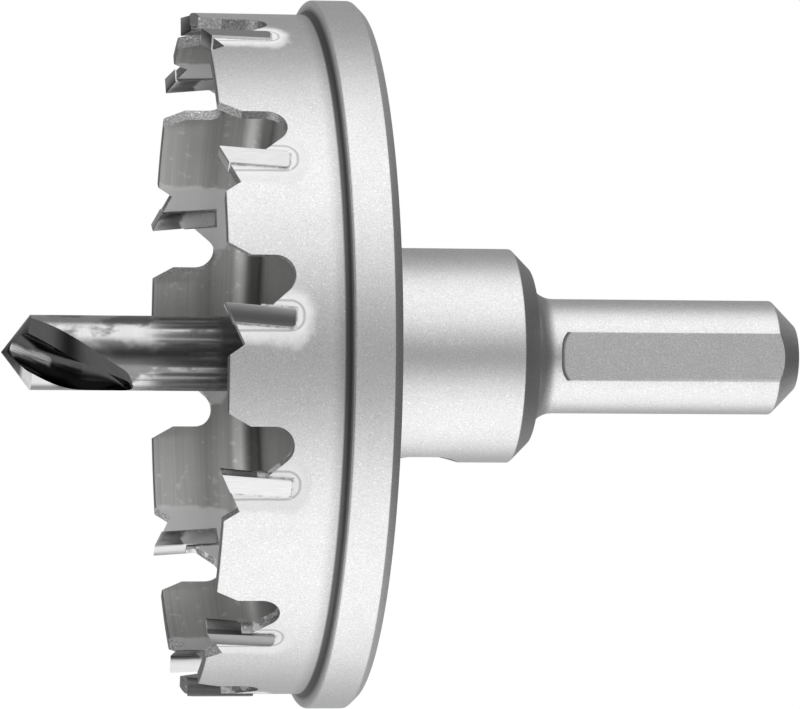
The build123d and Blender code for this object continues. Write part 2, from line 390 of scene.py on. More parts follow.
class Skin(NodePen):
    """Writes the material of one finish, and holds its colour while marks are laid on it."""

    def __init__(self, finish: Finish, effects: Effects) -> None:
        """Makes the material with its shader.

        Args:
            finish: The finish.
            effects: The shared groups.
        """
        self.finish, self.effects = finish, effects
        self.material = bpy.data.materials.new(finish.name)
        self.material.use_nodes = True
        super().__init__(self.material.node_tree)
        self.shader = self.add("ShaderNodeBsdfPrincipled")
        self.fill(self.shader, Metallic=1.0, Roughness=finish.roughness)
        self.fill(self.add("ShaderNodeOutputMaterial"), Surface=self.shader.outputs[0])
        self.place = self.add("ShaderNodeTexCoord").outputs["Object"]
        self.colour: Socket | None = None

    @cached_property
    def parts(self) -> tuple[Socket, ...]:
        """The surface point's x, y and z."""
        return self.split(self.place)

    @cached_property
    def square(self) -> Socket:
        """The square of the surface point's distance from the axis."""
        return self.math("ADD", *(self.math("POWER", part, 2.0) for part in self.parts[1:]))

    @cached_property
    def reach(self) -> Socket:
        """The surface point's distance from the axis."""
        return self.math("SQRT", self.square)

    def uv_map(self, name: str) -> Socket:
        """Reads a UV map of the piece.

        Args:
            name: The map's name.

        Returns:
            Its coordinates.
        """
        return self.add("ShaderNodeUVMap", uv_map=name).outputs[0]

    def chart(self, name: str) -> Socket:
        """Returns the coordinates of a UV map in millimetres, by the map's name."""
        return self.scaled(self.uv_map(name), (MAP_UNIT, MAP_UNIT, 0.0))

    def use(self, group: Tree, **values: object) -> dict[str, Socket]:
        """Places a shared group.

        Args:
            group: The group.
            values: Its inputs by name, with _ for a space.

        Returns:
            The group's outputs by name.
        """
        node = self.fill(self.add("ShaderNodeGroup", node_tree=group), **values)
        return {output.name: output for output in node.outputs}

    def patch(self, box: Patch, chart: Socket) -> dict[str, Socket]:
        """Places a rounded box.

        Args:
            box: The box.
            chart: The coordinates it lies in, in millimetres.

        Returns:
            The box's Mask and Distance.
        """
        return self.use(self.effects.patch, Vector=chart, Centre_U=box.centre[0], Centre_V=box.centre[1],
                        Half_U=box.half[0], Half_V=box.half[1], Corner=box.corner, Soft=box.soft,
                        Wander=box.wander)

    def tint(self, tone: Socket) -> None:
        """Sets the colour to the finish's own, times a tone.

        Args:
            tone: A factor about 1 that varies over the surface.
        """
        node = self.add("ShaderNodeVectorMath", operation="SCALE")
        self.feed(node.inputs[0], self.finish.colour)
        self.feed(node.inputs["Scale"], tone)
        self.colour = node.outputs[0]

    def grey(self, factor: Socket, level: float) -> None:
        """Lays a grey over the colour.

        Args:
            factor: 0 keeps the colour and 1 gives the grey.
            level: The grey.
        """
        node = self.add("ShaderNodeMix", data_type="RGBA")
        for socket, value in ((0, factor), (6, self.colour), (7, (level, level, level, 1.0))):
            self.feed(node.inputs[socket], value)
        self.colour = node.outputs[2]

    def close(self, height: Socket, depth: float, **others: Socket) -> Material:
        """Feeds the shader.

        Args:
            height: Height of the surface's fine form, from 0 to about 1.
            depth: What a height of 1 is, in metres.
            others: The shader's other inputs by name.

        Returns:
            The finished material.
        """
        node = self.fill(self.add("ShaderNodeBump"), Distance=depth, Strength=1.0, Height=height)
        self.fill(self.shader, Base_Color=self.colour, Normal=node.outputs[0], **others)
        return self.material


@dataclass(frozen=True)
class Shade:
    """Painted shade: a grey laid on where the surface is within steps along the axis and away from it."""

    level: float
    strength: float
    along: tuple[Pair, ...] = ()
    away: tuple[Pair, ...] = ()

    def lay(self, skin: Skin) -> None:
        """Lays the grey.

        Args:
            skin: The material.
        """
        factor = self.strength
        if self.along:
            factor = skin.product(skin.steps(skin.parts[0], *self.along), factor)
        if self.away:
            factor = skin.product(skin.steps(skin.reach, *self.away), factor)
        skin.grey(factor, self.level)


# Painted shade in the groove where the cup meets the flange, and softer shade beside it.
GROOVE_SHADE = Shade(0.04, 0.88, along=((-55.95, -55.67), (-54.95, -55.23)), away=((36.6, 36.9), (38.4, 38.0)))
CUP_NECK_SHADE = Shade(0.10, 0.28, along=((-57.3, -55.7), (-55.0, -55.6)), away=((36.8, 37.0),))
# Painted shade in the fillet at the root of the shank.
SHANK_ROOT_SHADE = Shade(0.10, 0.45, along=((-32.35, -32.15), (-27.7, -28.7)), away=((12.2, 11.9),))
# Painted shade on the end face of the rim.
RIM_END_SHADE = Shade(0.10, 0.75, along=((-67.62, -67.76),))
# Painted shade deep in the cup, towards its floor.
CUP_FLOOR_SHADE = Shade(0.16, 0.74, along=((-59.0, -56.1),))
# Painted shade on the braze seams inside the cup.
INNER_SEAM_SHADE = Shade(0.22, 0.75, away=((36.7, 36.2),))


@dataclass(frozen=True)
class Flats:
    """The three chuck flats: their cutters, and the shade along their bowed ends."""

    height: float = 5.735
    length: float = 27.3
    half: float = 2.67
    bow: float = 0.74
    power: float = 3.6
    past: float = 1.25
    spots: int = 51
    clear: Pair = (2.0, 3.0)
    angles: Triple = (0.0, 120.0, 240.0)
    end_run: Pair = (0.60, 0.22)
    end_along: Pair = (-24.0, -25.8)
    end_strength: float = 0.8
    end_level: float = 0.10

    def cutters(self) -> Thing:
        """Makes the cutters.

        Returns:
            The joined cutter.
        """
        out, up = self.clear
        shares = np.linspace(-self.past, self.past, self.spots)
        arc = [(self.bow * abs(t) ** self.power - self.length, t * self.half) for t in shares]
        outline = [(out, -self.past * self.half), *arc, (out, self.past * self.half)]
        verts, faces = [], []
        for angle in map(math.radians, self.angles):
            c, s = math.cos(angle), math.sin(angle)
            more, sides = prism(
                outline, lambda x, y, h: (x * MM, (-h * c + y * s) * MM, (h * s + y * c) * MM),
                self.height, self.height + up)
            faces += [tuple(len(verts) + i for i in f) for f in sides]
            verts += more
        return mesh_object("flat_cutters", verts, faces)

    def shade_end(self, skin: Skin) -> None:
        """Lays painted shade along a flat's bowed end.

        Args:
            skin: The material.
        """
        across = skin.most(skin.less(skin.square, (self.height * MM) ** 2), 0.0)
        share = skin.product(across, 1.0 / (self.half * MM) ** 2)
        bow = skin.product(skin.math("POWER", share, self.power / 2), self.bow * MM)
        run = skin.less(skin.math("ADD", skin.parts[0], self.length * MM), bow)
        edge = skin.product(skin.steps(run, self.end_run), skin.steps(skin.parts[0], self.end_along))
        skin.grey(skin.product(edge, self.end_strength), self.end_level)


@dataclass(frozen=True)
class Flux:
    """Bright matt flux round a brazed tip, with a thin dark line where its pool ended."""

    zone: Patch = Patch((3.4, -1.3), (5.4, 2.7), 2.0, 1.9, 1.9)
    pool: Patch = Patch((3.0, -1.28), (5.15, 1.56), 1.45, 0.2, 0.22)
    level: float = 0.90
    cover: float = 0.9
    line_width: Pair = (0.20, 0.03)
    line_level: float = 0.26
    line_cover: float = 0.42
    rougher: float = 0.47
    less_metal: float = 0.24
    less_grain: float = 0.8

    def lay(self, skin: Skin) -> Socket:
        """Lays the flux.

        Args:
            skin: The material.

        Returns:
            How much of the grain's height is left.
        """
        chart = skin.chart("tooth")
        zone = skin.patch(self.zone, chart)["Mask"]
        pool = skin.math("ABSOLUTE", skin.patch(self.pool, chart)["Distance"])
        skin.grey(skin.product(zone, self.cover), self.level)
        skin.grey(skin.product(skin.step(pool, *self.line_width), self.line_cover), self.line_level)
        skin.fill(skin.shader, Metallic=skin.line(zone, -self.less_metal, 1.0),
                  Roughness=skin.line(zone, self.rougher, skin.finish.roughness))
        return skin.line(zone, -self.less_grain, 1.0)


@dataclass(frozen=True)
class BlastedSteel(Finish):
    """Satin bead-blasted steel, with what marks it near the teeth, and with painted shade in grooves, in
    hollows and along the bowed ends of the flats.
    """

    grain: float
    contrast: float
    depth: float
    flux: Flux | None = None
    shades: tuple[Shade, ...] = ()
    flats: Flats | None = None
    drops: Patch | None = None

    def make(self, effects: Effects) -> Material:
        """Builds the material.

        Args:
            effects: The shared groups.

        Returns:
            The material.
        """
        skin = Skin(self, effects)
        grain = skin.use(effects.grain, Vector=skin.place, Scale=self.grain, Contrast=self.contrast)
        height = grain["Height"]
        skin.tint(grain["Tone"])
        if self.flux:
            height = skin.product(height, self.flux.lay(skin))
        for shade in self.shades:
            shade.lay(skin)
        if self.flats:
            self.flats.shade_end(skin)
        if self.drops:
            lump = skin.step(skin.noise(skin.place, 780.0, 1.5), 0.47, 0.55)
            skin.grey(skin.product(skin.patch(self.drops, skin.chart("tooth"))["Mask"], lump), 0.95)
        return skin.close(height, self.depth)


@dataclass(frozen=True)
class RingedSteel(Finish):
    """Steel with turning or grinding lines round the axis."""

    lines: float
    contrast: float
    depth: float

    def mark(self, skin: Skin, rough: Socket) -> Socket:
        """Lays the marks of one kind of ringed steel.

        Args:
            skin: The material.
            rough: Its roughness so far.

        Returns:
            Its roughness with the marks.
        """
        raise NotImplementedError

    def make(self, effects: Effects) -> Material:
        """Builds the material.

        Args:
            effects: The shared groups.

        Returns:
            The material.
        """
        skin = Skin(self, effects)
        rings = skin.use(effects.rings, Vector=skin.place, Scale=self.lines, Contrast=self.contrast)
        skin.tint(rings["Tone"])
        cloud = skin.less(skin.noise(skin.place, 420.0), 0.5)
        rough = self.mark(skin, skin.line(cloud, 0.12, self.roughness))
        return skin.close(rings["Height"], self.depth, Roughness=rough)


@dataclass(frozen=True)
class TurnedSteel(RingedSteel):
    """Turned inside of the cup, with smears of braze, and painted shade deep towards its floor and on the
    rim's end face.
    """

    smear: Patch = Patch((4.2, -1.6), (6.0, 4.2), 3.6, 0.6, 1.6)
    smear_cover: float = 0.75
    spot_cover: float = 0.35
    bright: float = 0.93
    rougher: float = 0.14

    def mark(self, skin: Skin, rough: Socket) -> Socket:
        """Lays the smears, the spots and the painted shade.

        Args:
            skin: The material.
            rough: Its roughness so far.

        Returns:
            Its roughness with the smears.
        """
        zone = skin.patch(self.smear, skin.chart("tooth"))["Mask"]
        spots = skin.step(skin.noise(skin.place, 900.0), 0.60, 0.70)
        cover = skin.most(skin.product(zone, self.smear_cover), skin.product(spots, self.spot_cover))
        skin.grey(cover, self.bright)
        for shade in (CUP_FLOOR_SHADE, RIM_END_SHADE):
            shade.lay(skin)
        return skin.line(zone, self.rougher, rough)


@dataclass(frozen=True)
class SmudgedShadedSteel(RingedSteel):
    """Ground drill with random dark smudges, and painted shade: streaks where it enters the cup, a dark
    stretch inside the cup and a dark band along the middle of each side.
    """

    smudge: float = 0.72
    # Grey of the smudges and of the painted shade.
    smudge_and_shade: float = 0.10
    rougher: float = 0.12
    # Spans of the painted shade: where the drill enters the cup, two bands left bright, inside the cup, and
    # along the middle of each side.
    entry: Pair = (-73.5, -70.5)
    gleam: tuple[Pair, Pair] = ((1.3, 1.7), (2.9, 2.5))
    shadow: Pair = (-66.8, -64.0)
    shadow_end: Pair = (-61.5, -59.0)
    middle: Pair = (2.0, 1.1)

    def mark(self, skin: Skin, rough: Socket) -> Socket:
        """Lays the smudges and the painted shade, darkest in the cup and along the middle of each side.

        Args:
            skin: The material.
            rough: Its roughness so far.

        Returns:
            Its roughness with the film.
        """
        x, _, z = skin.parts
        blot = skin.noise(skin.scaled(skin.place, (0.7, 1.0, 1.0)), 330.0, 3.0, 0.55)
        streak = skin.step(skin.noise(skin.scaled(skin.place, (0.03, 1.0, 1.0)), 1500.0), 0.36, 0.60)
        # Painted shade where the drill enters the cup, in streaks, lifted on two bands that stay bright.
        entry_shade = skin.product(skin.steps(x, self.entry), skin.line(streak, 0.45, 0.45),
                              skin.line(skin.steps(z, *self.gleam), -0.7, 1.0))
        # Painted shade inside the cup, easing towards the floor.
        cup_shade = skin.product(skin.steps(x, self.shadow), 0.93,
                              skin.line(skin.steps(x, self.shadow_end), -0.5, 1.0))
        # Painted reflection: a blotchy dark band along the middle of each side.
        middle = skin.product(skin.steps(skin.math("ABSOLUTE", z), self.middle),
                              skin.line(skin.step(blot, 0.30, 0.55), 0.45, 0.40))
        smudges = skin.product(skin.step(blot, 0.47, 0.60), self.smudge)
        smudge_and_shade = skin.most(smudges, middle, entry_shade, cup_shade)
        skin.grey(smudge_and_shade, self.smudge_and_shade)
        return skin.line(smudge_and_shade, self.rougher, rough)


@dataclass(frozen=True)
class PointSteel(RingedSteel):
    """Ground point with a painted highlight on the outer corner of each of its two lips."""

    corner: Pair = (-86.4, -85.9)
    side: Pair = (0.0, 1.0e-6)  # square metres
    bright: float = 0.75
    less_metal: float = 0.6

    def mark(self, skin: Skin, rough: Socket) -> Socket:
        """Lays the painted highlights on the corners, which lie where y times z is above 0.

        Args:
            skin: The material.
            rough: Its roughness so far.

        Returns:
            The same roughness.
        """
        x, y, z = skin.parts
        # Painted highlight, brighter and less metallic.
        corner = skin.product(skin.steps(x, self.corner), skin.step(skin.product(y, z), *self.side))
        skin.grey(corner, self.bright)
        skin.fill(skin.shader, Metallic=skin.line(corner, -self.less_metal, 1.0))
        return rough


@dataclass(frozen=True)
class FluteSteel(Finish):
    """Ground flute, its near-black colour painted shade for its dark hollow, with a painted highlight streak
    along its core.
    """

    highlight_streak: Patch = Patch((2.6, 0.0), (2.7, 0.36), 0.35, 0.5, 0.5)
    bright: float = 0.95
    rougher: float = 0.66
    depth: float = 1.6e-6

    def make(self, effects: Effects) -> Material:
        """Builds the material.

        Args:
            effects: The shared groups.

        Returns:
            The material.
        """
        skin = Skin(self, effects)
        winding = skin.chart("flute")
        across = skin.scaled(winding, (0.01, 0.0, 0.0))
        lines = skin.use(effects.rings, Vector=across, Scale=2600.0, Contrast=0.25)
        scratch = skin.noise(skin.scaled(winding, (0.12, 3.0, 0.0)), 2.4, 3.0, 0.6)
        skin.tint(skin.product(lines["Tone"], skin.line(scratch, 0.8, 0.6)))
        # Painted highlight streak along the core.
        streak_highlight = skin.product(skin.patch(self.highlight_streak, winding)["Mask"], skin.step(scratch, 0.30, 0.52))
        skin.grey(streak_highlight, self.bright)
        rough = skin.line(streak_highlight, self.rougher, self.roughness)
        return skin.close(lines["Height"], self.depth, Roughness=rough)


@dataclass(frozen=True)
class GroundCarbide(Finish):
    """Ground carbide, each tip's outside lighter or darker by a painted light level of its own, with braze
    smeared on its inside and painted shade on the rest of its inside.
    """

    smear: Patch = Patch((6.6, -0.4), (3.4, 2.4), 1.8, 0.7, 1.6)
    inside: Pair = (36.0, 35.5)
    outside: Pair = (36.7, 37.0)
    bright: float = 0.95
    inside_shade_cover: float = 0.65
    inside_shade: float = 0.10
    rougher: float = 0.2
    depth: float = 3.0e-6

    def make(self, effects: Effects) -> Material:
        """Builds the material.

        Args:
            effects: The shared groups.

        Returns:
            The material.
        """
        skin = Skin(self, effects)
        streak = skin.noise(skin.scaled(skin.place, (0.12, 1.0, 1.0)), 5200.0, 3.0, 0.6)
        # Painted light: each tip's outside is lighter or darker by its own level.
        own = skin.split(skin.uv_map("grind"))[0]
        outside, inside = skin.steps(skin.reach, self.outside), skin.steps(skin.reach, self.inside)
        skin.tint(skin.product(skin.line(skin.less(streak, 0.5), 0.22, 1.0),
                               skin.line(outside, skin.less(own, 1.0), 1.0)))
        smear = skin.product(skin.patch(self.smear, skin.chart("tooth"))["Mask"], inside)
        skin.grey(smear, self.bright)
        # Painted shade on the inside, where no braze is smeared.
        skin.grey(skin.product(skin.less(inside, smear), self.inside_shade_cover), self.inside_shade)
        grain = skin.use(effects.grain, Vector=skin.place, Scale=9000.0, Contrast=0.1)
        rough = skin.line(smear, self.rougher, self.roughness)
        return skin.close(grain["Height"], self.depth, Roughness=rough)


BODY_FINISHES = {
    BodyFace.BLASTED: BlastedSteel("body_steel", (0.80, 0.80, 0.80), 0.45, 5600.0, 0.36, 1.3e-5, flux=Flux(),
                                   shades=(GROOVE_SHADE, CUP_NECK_SHADE, SHANK_ROOT_SHADE, RIM_END_SHADE)),
    BodyFace.TURNED: TurnedSteel("turned_steel", (0.54, 0.54, 0.53), 0.38, 3200.0, 0.45, 4.0e-6),
    BodyFace.MILLED: BlastedSteel("milled_steel", (0.44, 0.44, 0.44), 0.5, 4200.0, 1.3, 2.2e-5,
                                  drops=Patch((6.6, 0.6), (3.2, 1.9), 1.2, 0.8, 1.6)),
    BodyFace.FLAT: BlastedSteel("flat_steel", (0.80, 0.80, 0.80), 0.48, 5600.0, 0.50, 1.0e-5, flats=Flats()),
}
DRILL_FINISHES = {
    DrillFace.GROUND: SmudgedShadedSteel("drill_steel", (0.63, 0.63, 0.63), 0.16, 5200.0, 0.16, 8.0e-7),
    # The flute's near-black colour is painted shade.
    DrillFace.FLUTE: FluteSteel("drill_flute", (0.075, 0.075, 0.075), 0.20),
    DrillFace.POINT: PointSteel("drill_point", (0.20, 0.20, 0.20), 0.24, 5200.0, 0.25, 2.0e-6),
}
CARBIDE = GroundCarbide("carbide", (0.64, 0.64, 0.64), 0.20)
BRAZE = BlastedSteel("braze", (0.86, 0.86, 0.86), 0.66, 1500.0, 1.2, 6.0e-5, shades=(INNER_SEAM_SHADE,))
SCREW_OXIDE = BlastedSteel("screw_steel", (0.07, 0.07, 0.075), 0.42, 5200.0, 0.3, 6.0e-6)


# ------------------------------------------------------------------ mesh writing
def rounded(points: Sequence[Triple], fine: float = 12.0) -> list[Pair]:
    """Rounds the corners of an open line.

    Args:
        points: For each corner its x, its distance from the axis and its rounding radius.
        fine: Degrees of turn for each step.

    Returns:
        The points of the rounded line.
    """
    line: list[Pair] = []
    for i, (x, y, radius) in enumerate(points):
        if radius <= 0 or i in (0, len(points) - 1):
            line.append((x, y))
            continue
        here = Vector((x, y))
        back = (Vector(points[i - 1][:2]) - here).normalized()
        ahead = (Vector(points[i + 1][:2]) - here).normalized()
        inside = back.angle(ahead)
        reach = radius / math.tan(inside / 2)
        centre = here + (back + ahead).normalized() * (radius / math.sin(inside / 2))
        first, last = here + back * reach - centre, here + ahead * reach - centre
        steps = max(2, math.ceil(math.degrees(math.pi - inside) / fine))
        total = first.angle_signed(last)
        line += [tuple(centre + Matrix.Rotation(-total * k / steps, 2) @ first) for k in range(steps + 1)]
    return line


def link(name: str, data: bpy.types.ID) -> Thing:
    """Puts a mesh, a camera or a lamp in the scene.

    Args:
        name: The object's name.
        data: The mesh, camera or lamp.

    Returns:
        The object, at the origin.
    """
    obj = bpy.data.objects.new(name, data)
    bpy.context.scene.collection.objects.link(obj)
    return obj


def mesh_object(name: str, verts: Sequence, faces: Sequence, slots: Sequence[int] | None = None) -> Thing:
    """Makes an object at the origin from points and faces, with its faces turned outwards.

    Args:
        name: The object's name.
        verts: The points.
        faces: The faces as point numbers.
        slots: The material slot of each face.

    Returns:
        The object.
    """
    mesh = bpy.data.meshes.new(name)
    mesh.from_pydata([tuple(v) for v in verts], [], [tuple(f) for f in faces])
    if slots is not None:
        mesh.polygons.foreach_set("material_index", np.array(slots, dtype=np.int32))
    bm = bmesh.new()
    bm.from_mesh(mesh)
    bmesh.ops.recalc_face_normals(bm, faces=bm.faces)
    bm.to_mesh(mesh)
    bm.free()
    return link(name, mesh)


def prism(outline: Sequence[Pair], place: Callable[[float, float, float], Triple], low: float,
          high: float) -> tuple[list, list]:
    """Extrudes an outline between two heights.

    Args:
        outline: The outline's points.
        place: Turns two outline coordinates and a height into a point in space.
        low: The lower height.
        high: The upper height.

    Returns:
        Points and faces.
    """
    n = len(outline)
    verts = [place(x, y, h) for h in (low, high) for x, y in outline]
    faces = [tuple(range(n)), tuple(range(2 * n - 1, n - 1, -1))]
    faces += [(i, (i + 1) % n, n + (i + 1) % n, n + i) for i in range(n)]
    return verts, faces


def lathe(name: str, line: Sequence[Pair], slots: Sequence[int], steps: int) -> Thing:
    """Turns a line that starts and ends on the axis.

    Args:
        name: The object's name.
        line: Points as x and radius, in millimetres.
        slots: The material slot of each stretch of the line.
        steps: How many steps a full turn has.

    Returns:
        The closed turned form.
    """
    rows = line[1:-1]
    turns = [2 * math.pi * (k + ROW_SHIFT) / steps for k in range(steps)]
    verts = [(line[0][0] * MM, 0.0, 0.0)]
    for x, r in rows:
        verts += [(x * MM, -r * math.cos(t) * MM, r * math.sin(t) * MM) for t in turns]
    verts.append((line[-1][0] * MM, 0.0, 0.0))
    last = 1 + (len(rows) - 1) * steps
    faces, marks = [], []
    for k in range(steps):
        j = (k + 1) % steps
        faces += [(0, 1 + k, 1 + j), (len(verts) - 1, last + j, last + k)]
        marks += [slots[0], slots[-1]]
        for i in range(len(rows) - 1):
            a, b = 1 + i * steps, 1 + (i + 1) * steps
            faces.append((a + k, b + k, b + j, a + j))
            marks.append(slots[i + 1])
    return mesh_object(name, verts, faces, marks)


def evaluated(obj: Thing) -> Mesh:
    """Makes a plain mesh of an object with its modifiers.

    Args:
        obj: The object.

    Returns:
        The mesh.
    """
    bpy.context.view_layer.update()
    return bpy.data.meshes.new_from_object(obj.evaluated_get(bpy.context.evaluated_depsgraph_get()))


def carve(obj: Thing, cutters: Sequence[tuple[Thing, Material]]) -> None:
    """Cuts forms out of an object. The cut faces get the cutter's finish.

    Args:
        obj: The object that is cut.
        cutters: Each cutter with the finish it leaves.
    """
    for cutter, finish in cutters:
        if not cutter.data.materials:
            cutter.data.materials.append(finish)
        cut = obj.modifiers.new("cut", "BOOLEAN")
        cut.operation, cut.solver, cut.material_mode = "DIFFERENCE", "EXACT", "TRANSFER"
        cut.object = cutter
        made = evaluated(obj)
        obj.modifiers.clear()
        obj.data = made
        bpy.data.objects.remove(cutter)


def corners(mesh: Mesh) -> np.ndarray:
    """Returns the place of each face corner, in millimetres."""
    return np.array([mesh.vertices[loop.vertex_index].co[:] for loop in mesh.loops]) / MM


def about_axis(points: np.ndarray) -> np.ndarray:
    """Returns the angle of each point about the axis, in degrees."""
    return np.degrees(np.arctan2(points[:, 2], -points[:, 1]))


def write_map(mesh: Mesh, name: str, values: np.ndarray) -> None:
    """Stores a UV map.

    Args:
        mesh: The mesh.
        name: The map's name.
        values: Two values for each face corner, in the map's own unit.
    """
    mesh.uv_layers.new(name=name).data.foreach_set("uv", values.astype(np.float32).ravel())


def smooth(obj: Thing, degrees: float) -> None:
    """Smooths a mesh and keeps edges sharper than an angle.

    Args:
        obj: The object.
        degrees: The angle above which an edge stays sharp.
    """
    obj.data.polygons.foreach_set("use_smooth", [True] * len(obj.data.polygons))
    obj.data.set_sharp_from_angle(angle=math.radians(degrees))
    obj.data.update()


# ------------------------------------------------------------------ tooth layout
@dataclass
class ToothRing:
    """Places and profile of the twelve gullets and tip seats."""

    cup_radius: float = 37.2
    first: float = 8.1
    pitches: tuple[float, ...] = (27.4, 32.2, 30.0, 26.4, 33.6, 32.9, 29.1, 32.7, 25.3, 30.8, 32.7)
    land_x: float = -67.8
    lead: float = 0.4
    rake: float = math.radians(4.5)
    tip_length: float = 7.35
    tip_thickness: float = 1.95
    gap: float = 0.2
    gullet_depth: float = 7.0
    gullet_radius: float = 2.1
    gullet_height: float = 5.05
    gullet_steps: int = 16
    ramp: float = math.radians(41.0)
    mouth_length: float = 2.4
    mouth_slope: float = math.tan(math.radians(29.5))
    relief_slope: float = math.tan(math.radians(24.8))
    relief_setback: float = 0.1
    notch_offset: float = 4.25
    notch_slope: float = math.tan(math.radians(35.0))
    over: float = 2.0

    @property
    def angles(self) -> list[float]:
        """Angle of each tooth, in degrees."""
        return [self.first - sum(self.pitches[:i]) for i in range(len(self.pitches) + 1)]

    @property
    def front_x(self) -> float:
        """Where the tips end, in millimetres."""
        return self.land_x - self.lead

    def chart(self, points: np.ndarray, angles: np.ndarray | float) -> np.ndarray:
        """Places points in their tooth's own plane: behind the front, and round the cup.

        Args:
            points: The points, in millimetres.
            angles: The angle of each point's tooth, in degrees.

        Returns:
            Two coordinates for each point, in units of a UV map.
        """
        turn = (about_axis(points) - angles + 180) % 360 - 180
        return np.stack([points[:, 0] - self.front_x, np.radians(turn) * self.cup_radius], 1) / MAP_UNIT

    def tip_point(self, length: float, depth: float) -> Vector:
        """Point at a length along the rake face and a depth behind it.

        Args:
            length: Along the rake face from the leading corner.
            depth: Behind the rake face.

        Returns:
            The point in the tooth's own plane.
        """
        along = Vector((math.cos(self.rake), -math.sin(self.rake)))
        across = Vector((math.sin(self.rake), math.cos(self.rake)))
        return Vector((self.front_x, 0.0)) + along * length - across * depth

    def relief_hit(self, depth: float) -> Vector:
        """Where the line at a depth behind the rake face meets the relief line.

        Args:
            depth: Behind the rake face.

        Returns:
            The point in the tooth's own plane.
        """
        along = self.tip_point(1, 0) - self.tip_point(0, 0)
        base = self.tip_point(0, depth)
        run = self.front_x + self.relief_setback - self.relief_slope * base.y - base.x
        return base + along * (run / (along.x + self.relief_slope * along.y))

    def outline(self) -> list[Pair]:
        """Outline of one gullet with its notch and seat, in millimetres.

        Returns:
            The outline's points.
        """
        steps = self.gullet_steps
        end_x = self.land_x + self.gullet_depth
        centre = Vector((end_x - self.gullet_radius, self.gullet_height - self.gullet_radius))
        turns = [math.pi / 2 - (math.pi - self.ramp) * i / steps for i in range(steps + 1)]
        arc = [centre + Vector((math.cos(t), math.sin(t))) * self.gullet_radius for t in turns]
        down = Vector((-math.cos(self.ramp), -math.sin(self.ramp)))
        across = self.tip_point(0, 0) - self.tip_point(0, 1)
        drop = (arc[-1] - self.tip_point(0, -self.gap)).dot(across) / -down.dot(across)
        roof = arc[-1] + down * drop
        notch_x = self.front_x + self.relief_setback + self.notch_offset * self.relief_slope
        tip = Vector((notch_x, -self.notch_offset))
        out = tip.x - self.land_x + self.over
        reach = self.mouth_length + self.over
        line = [
            roof,
            self.tip_point(self.tip_length + self.gap, -self.gap),
            self.tip_point(self.tip_length + self.gap, self.tip_thickness + self.gap),
            self.relief_hit(self.tip_thickness + self.gap),
            tip,
            tip + Vector((-out, -out * self.notch_slope)),
            Vector((self.land_x - self.over, self.gullet_height + reach * self.mouth_slope)),
            Vector((self.land_x + self.mouth_length, self.gullet_height)),
        ]
        return [(p.x, p.y) for p in [*line, *arc]]


